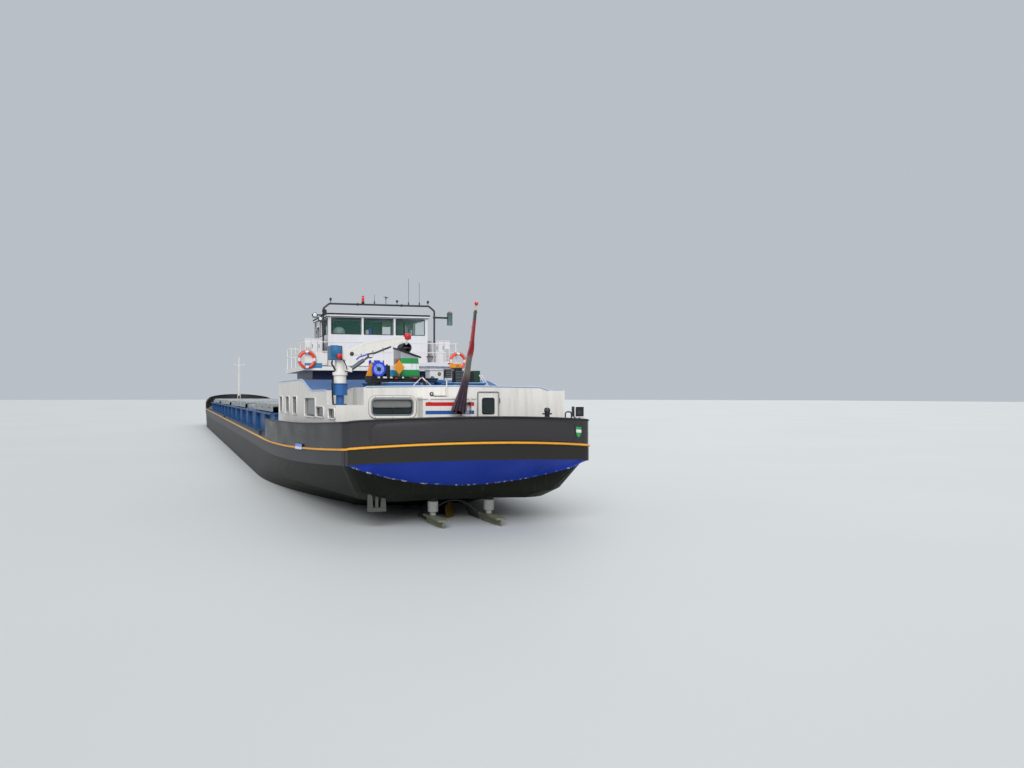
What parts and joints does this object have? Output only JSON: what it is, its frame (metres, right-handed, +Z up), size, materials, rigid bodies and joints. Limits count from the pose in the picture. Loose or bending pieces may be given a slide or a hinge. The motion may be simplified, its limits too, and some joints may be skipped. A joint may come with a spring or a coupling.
{
  "type": "1:10 scale model of an inland motor cargo barge",
  "caption": "Flat-bottomed river cargo barge with a long covered hold, aft house, wheelhouse, deck crane, twin rudders and a screw in a nozzle.",
  "frame": {"origin": "centre of the bounding box's base, on the hull's flat bottom", "axes": "+X towards the bow, +Y to port, +Z up"},
  "size_m": [8.6, 0.95, 1.05],
  "materials": {
    "hull_paint": "semi-matt marine paint, worn at the waterline",
    "bulwark_paint": "gloss dark grey",
    "yellow_paint": "satin yellow",
    "blue_paint": "satin blue",
    "white_paint": "warm white, weathered",
    "grey_paint": "matt grey",
    "console_grey": "matt console grey",
    "cover_metal": "dull mill aluminium",
    "dark_steel": "dull steel",
    "bronze": "dull bronze",
    "green_paint": "gloss green with a white band",
    "winch_paint": "teal-blue machine paint",
    "reel_blue": "gloss royal blue",
    "buoy_orange": "orange-red with white bands",
    "black_trim": "matt black",
    "window_glass": "dark tinted glass",
    "flag_cloth": "furled red, white and blue bunting"
  },
  "bodies": {
    "ship": {"hull": "hull_paint", "gunwale_band": "yellow_paint", "bulwark_aft": "bulwark_paint", "bulwark_fore": "bulwark_paint", "name_board": "bulwark_paint", "hold_coaming": "blue_paint", "hatch_cover_low_1": "cover_metal", "hatch_cover_low_2": "cover_metal", "hatch_cover_low_3": "cover_metal", "hatch_cover_low_4": "cover_metal", "nozzle": "grey_paint", "engine": "grey_paint", "aft_house": "white_paint", "skylight": "blue_paint", "deck_locker": "white_paint", "flagstaff": "dark_steel", "flag": "flag_cloth", "funnel": "green_paint", "hose_reel_stand": "yellow_paint", "crane_pedestal": "blue_paint", "upper_deck": "white_paint", "wheelhouse": "white_paint", "wheelhouse_glass_aft": "window_glass", "wheelhouse_glass_fore": "window_glass", "wheelhouse_roof": "white_paint", "helm_console": "console_grey", "helm_chair": "black_trim", "wing_locker_port": "white_paint", "wing_locker_starboard": "white_paint", "portal_frame": "white_paint", "railing_port": "white_paint", "railing_starboard": "white_paint", "railing_aft": "white_paint", "lifebuoy_port": "buoy_orange", "lifebuoy_starboard": "buoy_orange", "bow_store": "white_paint", "windlass_frame": "winch_paint", "anchor_port": "black_trim", "anchor_starboard": "black_trim", "stern_anchor": "grey_paint", "mast_step": "white_paint"},
    "cover_1": {"hatch_cover_high_1": "cover_metal"},
    "cover_2": {"hatch_cover_high_2": "cover_metal"},
    "cover_3": {"hatch_cover_high_3": "cover_metal"},
    "cover_4": {"hatch_cover_high_4": "cover_metal"},
    "screw": {"propeller": "bronze"},
    "port_rudder": {"rudder_port": "hull_paint"},
    "starboard_rudder": {"rudder_starboard": "hull_paint"},
    "aft_door": {"house_door": "white_paint"},
    "roof_lid": {"skylight_lid": "blue_paint"},
    "reel": {"hose_reel": "reel_blue"},
    "crane_head": {"crane_column": "winch_paint"},
    "boom": {"crane_boom": "white_paint"},
    "cylinder_barrel": {"luff_barrel": "dark_steel"},
    "cylinder_rod": {"luff_rod": "dark_steel"},
    "port_door": {"wheelhouse_door_port": "white_paint"},
    "starboard_door": {"wheelhouse_door_starboard": "white_paint"},
    "radar": {"radar_scanner": "white_paint"},
    "windlass": {"windlass_drum": "dark_steel"},
    "mast": {"fore_mast": "white_paint"}
  },
  "joints": [
    {"name": "cover_slide_1", "type": "slide", "parent": "ship", "child": "cover_1", "axis": [1, 0, 0], "range_m": [0, 0.685]},
    {"name": "cover_slide_2", "type": "slide", "parent": "ship", "child": "cover_2", "axis": [1, 0, 0], "range_m": [0, 0.685]},
    {"name": "cover_slide_3", "type": "slide", "parent": "ship", "child": "cover_3", "axis": [1, 0, 0], "range_m": [0, 0.685]},
    {"name": "cover_slide_4", "type": "slide", "parent": "ship", "child": "cover_4", "axis": [1, 0, 0], "range_m": [0, 0.685]},
    {"name": "screw_spin", "type": "hinge", "parent": "ship", "child": "screw", "pos_m": [-4.014, 0, 0.101], "axis": [1, 0, 0], "continuous": true},
    {"name": "rudder_turn", "type": "hinge", "parent": "ship", "child": "port_rudder", "pos_m": [-4.115, 0.0935, 0.1], "axis": [0, 0, 1], "range_deg": [-45, 45]},
    {"name": "rudder_turn_starboard", "type": "hinge", "parent": "ship", "child": "starboard_rudder", "pos_m": [-4.115, -0.0935, 0.1], "axis": [0, 0, 1], "range_deg": [-45, 45]},
    {"name": "aft_door_swing", "type": "hinge", "parent": "ship", "child": "aft_door", "pos_m": [-4.06, -0.15, 0.45], "axis": [0, 0, 1], "range_deg": [0, 110]},
    {"name": "roof_lid_lift", "type": "hinge", "parent": "ship", "child": "roof_lid", "pos_m": [-3.846, -0.089, 0.5653], "axis": [0, 1, 0], "range_deg": [0, 75]},
    {"name": "reel_spin", "type": "hinge", "parent": "ship", "child": "reel", "pos_m": [-3.72, 0.162, 0.624], "axis": [1, 0, 0], "continuous": true},
    {"name": "crane_slew", "type": "hinge", "parent": "ship", "child": "crane_head", "pos_m": [-3.99, 0.362, 0.626], "axis": [0, 0, 1], "range_deg": [-150, 150]},
    {"name": "crane_luff", "type": "hinge", "parent": "crane_head", "child": "boom", "pos_m": [-3.99, 0.328, 0.662], "axis": [-1, 0, 0], "range_deg": [0, 55]},
    {"name": "cylinder_swing", "type": "hinge", "parent": "crane_head", "child": "cylinder_barrel", "pos_m": [-3.99, 0.332, 0.61], "axis": [-1, 0, 0], "range_deg": [-1, 33]},
    {"name": "cylinder_stroke", "type": "slide", "parent": "cylinder_barrel", "child": "cylinder_rod", "axis": [0, -0.8247, 0.5655], "range_m": [-0.001, 0.029]},
    {"name": "port_door_swing", "type": "hinge", "parent": "ship", "child": "port_door", "pos_m": [-2.9, 0.228, 0.76], "axis": [0, 0, -1], "range_deg": [0, 100]},
    {"name": "starboard_door_swing", "type": "hinge", "parent": "ship", "child": "starboard_door", "pos_m": [-2.9, -0.228, 0.76], "axis": [0, 0, 1], "range_deg": [0, 100]},
    {"name": "radar_spin", "type": "hinge", "parent": "ship", "child": "radar", "pos_m": [-2.91, 0, 0.911], "axis": [0, 0, 1], "continuous": true},
    {"name": "windlass_spin", "type": "hinge", "parent": "ship", "child": "windlass", "pos_m": [3.97, 0, 0.442], "axis": [0, 1, 0], "continuous": true},
    {"name": "mast_fold", "type": "hinge", "parent": "ship", "child": "mast", "pos_m": [3.88, 0, 0.53], "axis": [0, -1, 0], "range_deg": [0, 90]}
  ],
  "couplings": [
    {"joint": "rudder_turn_starboard", "follows": "rudder_turn", "ratio": 1},
    {"joint": "cylinder_swing", "follows": "crane_luff", "ratio": 0.584},
    {"joint": "cylinder_stroke", "follows": "crane_luff", "m_per_rad": 0.0294}
  ]
}
